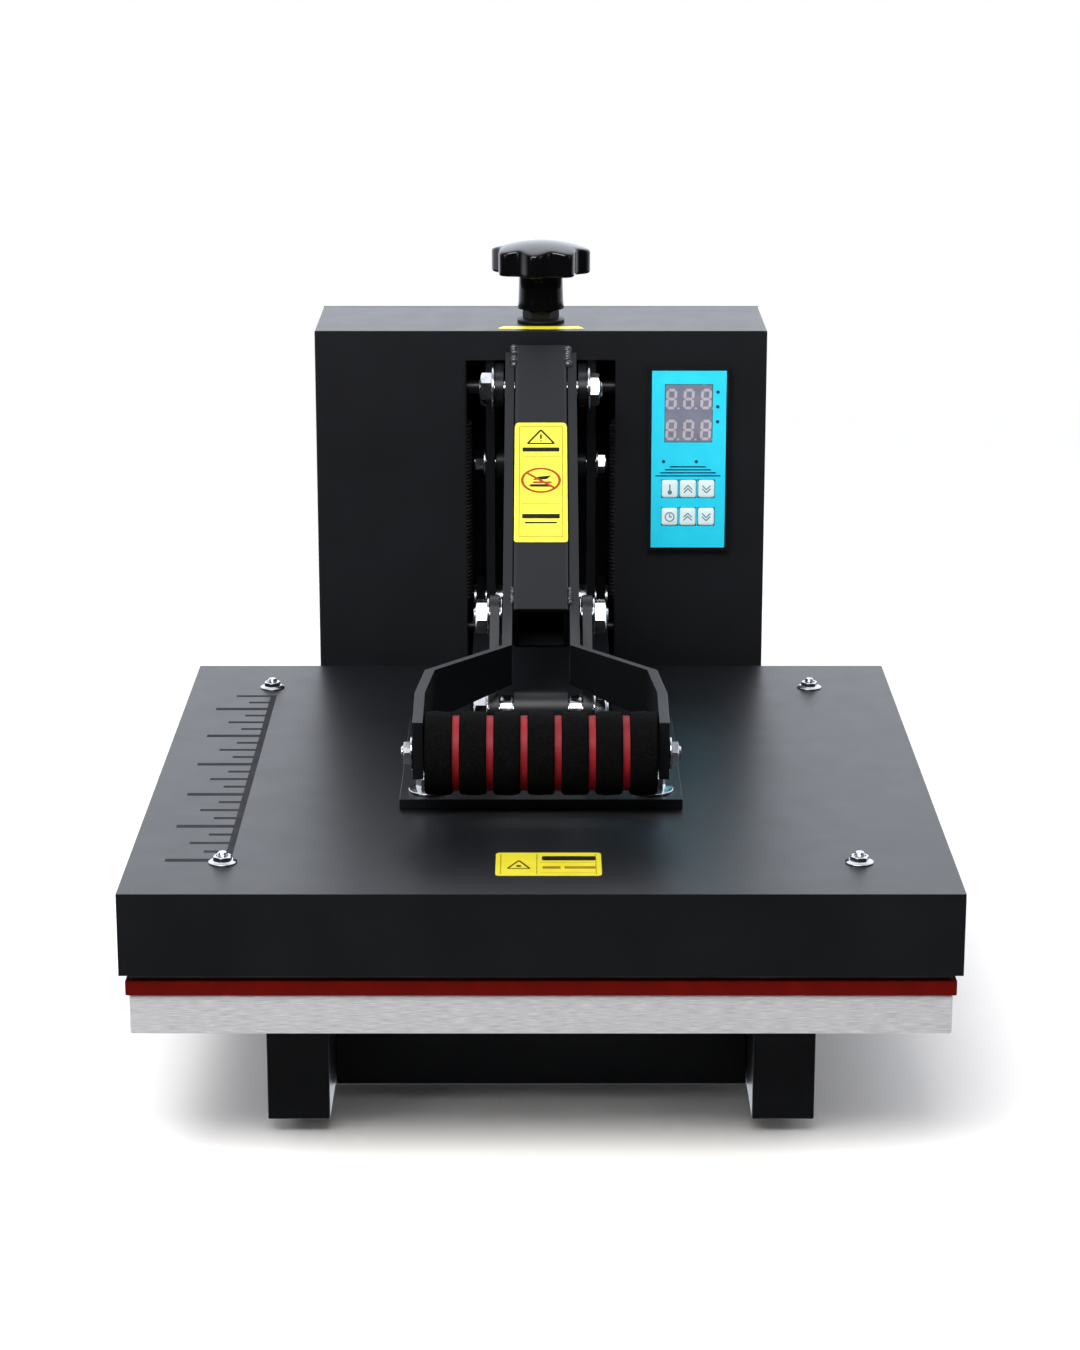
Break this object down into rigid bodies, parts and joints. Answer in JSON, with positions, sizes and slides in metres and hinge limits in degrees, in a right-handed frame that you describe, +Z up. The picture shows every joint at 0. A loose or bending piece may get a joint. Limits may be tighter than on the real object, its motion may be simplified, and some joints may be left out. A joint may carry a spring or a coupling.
{
  "type": "heat press",
  "caption": "Clamshell heat press: square heated platen on a rear hinge, toggle handle with foam grip, pressure knob and a boxed control panel.",
  "frame": {"origin": "on the surface it stands on, under the middle of the footprint", "axes": "+Z up, -Y towards the operator and the grip, +X to the operator's right"},
  "size_m": [0.39, 0.5, 0.3755],
  "materials": {
    "powder_coat": "satin, fine texture",
    "foot_rubber": "matte",
    "brushed_steel": "brushed along the width",
    "zinc": "bright zinc plate",
    "silicone": "matte",
    "black_plastic": "satin",
    "panel_blue": "satin film",
    "display_window": "gloss",
    "button_plastic": "satin film",
    "relay_plastic": "matte",
    "rocker_red": "gloss",
    "gloss_black": "gloss",
    "grip_red": "satin",
    "grip_foam": "matte foam",
    "heating_metal": "dark non-stick coating",
    "insulation": "matte fibre"
  },
  "bodies": {
    "base": {"back_panel": "powder_coat", "control_case": "black_plastic", "control_face": "panel_blue", "control_relay": "relay_plastic", "crossbar_front": "powder_coat", "crossbar_rear": "powder_coat", "display": "display_window", "foot_front_left": "foot_rubber", "foot_front_right": "foot_rubber", "foot_rear_left": "foot_rubber", "foot_rear_right": "foot_rubber", "hinge_shaft": "brushed_steel", "housing_shell": "powder_coat", "lift_spring_left": "brushed_steel", "lift_spring_right": "brushed_steel", "lower_tray": "brushed_steel", "power_module": "black_plastic", "rail_left": "powder_coat", "rail_right": "powder_coat", "screw_collar": "powder_coat", "silicone_pad": "silicone", "tie_bolt": "zinc", "upright_left": "powder_coat", "upright_right": "powder_coat"},
    "knob": {"pressure_knob": "gloss_black", "pressure_screw": "brushed_steel"},
    "yoke": {"pressure_yoke": "powder_coat", "lever_pivot_bolt": "zinc"},
    "lever": {"handle_tube": "powder_coat", "fork_bar_left": "powder_coat", "fork_bar_right": "powder_coat", "grip_axle": "zinc", "grip_core": "grip_red", "grip_foam": "grip_foam"},
    "platen": {"upper_cover": "powder_coat", "heating_plate": "heating_metal", "insulation_mat": "insulation", "mount_plate": "powder_coat", "link_bracket": "powder_coat", "platen_arms": "powder_coat", "link_foot_bolt": "zinc", "cover_bolt_front_left": "zinc", "cover_bolt_front_right": "zinc", "cover_bolt_rear_left": "zinc", "cover_bolt_rear_right": "zinc", "mount_bolt_front_left": "zinc", "mount_bolt_front_right": "zinc", "mount_bolt_rear_left": "zinc", "mount_bolt_rear_right": "zinc"},
    "link": {"link_left": "powder_coat", "link_right": "powder_coat", "link_bolt_left": "zinc", "link_bolt_right": "zinc"},
    "rocker": {"power_rocker": "rocker_red"},
    "button_temperature_down": {"button_temperature_down": "button_plastic"},
    "button_temperature_mode": {"button_temperature_mode": "button_plastic"},
    "button_temperature_up": {"button_temperature_up": "button_plastic"},
    "button_timer_down": {"button_timer_down": "button_plastic"},
    "button_timer_mode": {"button_timer_mode": "button_plastic"},
    "button_timer_up": {"button_timer_up": "button_plastic"}
  },
  "joints": [
    {"name": "knob_turn", "type": "hinge", "parent": "base", "child": "knob", "pos_m": [0, 0.192, 0.34], "axis": [0, 0, 1], "range_deg": [-540, 180]},
    {"name": "yoke_travel", "type": "slide", "parent": "base", "child": "yoke", "axis": [0, 0, 1], "range_m": [-0.003, 0.001]},
    {"name": "handle_lift", "type": "hinge", "parent": "yoke", "child": "lever", "pos_m": [0, 0.135, 0.2999], "axis": [-1, 0, 0], "range_deg": [0, 48]},
    {"name": "platen_tilt", "type": "hinge", "parent": "base", "child": "platen", "pos_m": [0, 0.202, 0.1625], "axis": [-1, 0, 0], "range_deg": [0, 32.75], "deforming": ["lift_spring_left", "lift_spring_right"]},
    {"name": "link_swing", "type": "hinge", "parent": "platen", "child": "link", "pos_m": [0, -0.05, 0.1675], "axis": [1, 0, 0], "range_deg": [0, 102.13]},
    {"name": "rocker_tilt", "type": "hinge", "parent": "base", "child": "rocker", "pos_m": [-0.07, 0.242, 0.136], "axis": [1, 0, 0], "range_deg": [0, 16]},
    {"name": "button_temperature_down_press", "type": "slide", "parent": "base", "child": "button_temperature_down", "axis": [0, 1, 0], "range_m": [0, 0.001], "stiffness_N_per_m": 150, "springref_m": -0.001},
    {"name": "button_temperature_mode_press", "type": "slide", "parent": "base", "child": "button_temperature_mode", "axis": [0, 1, 0], "range_m": [0, 0.001], "stiffness_N_per_m": 150, "springref_m": -0.001},
    {"name": "button_temperature_up_press", "type": "slide", "parent": "base", "child": "button_temperature_up", "axis": [0, 1, 0], "range_m": [0, 0.001], "stiffness_N_per_m": 150, "springref_m": -0.001},
    {"name": "button_timer_down_press", "type": "slide", "parent": "base", "child": "button_timer_down", "axis": [0, 1, 0], "range_m": [0, 0.001], "stiffness_N_per_m": 150, "springref_m": -0.001},
    {"name": "button_timer_mode_press", "type": "slide", "parent": "base", "child": "button_timer_mode", "axis": [0, 1, 0], "range_m": [0, 0.001], "stiffness_N_per_m": 150, "springref_m": -0.001},
    {"name": "button_timer_up_press", "type": "slide", "parent": "base", "child": "button_timer_up", "axis": [0, 1, 0], "range_m": [0, 0.001], "stiffness_N_per_m": 150, "springref_m": -0.001}
  ],
  "couplings": [
    {"joint": "knob_turn", "follows": "yoke_travel", "rad_per_m": 3141.6},
    {"joint": "platen_tilt", "follows": "handle_lift", "ratio": 0.68221},
    {"joint": "link_swing", "follows": "handle_lift", "ratio": 2.1276}
  ]
}
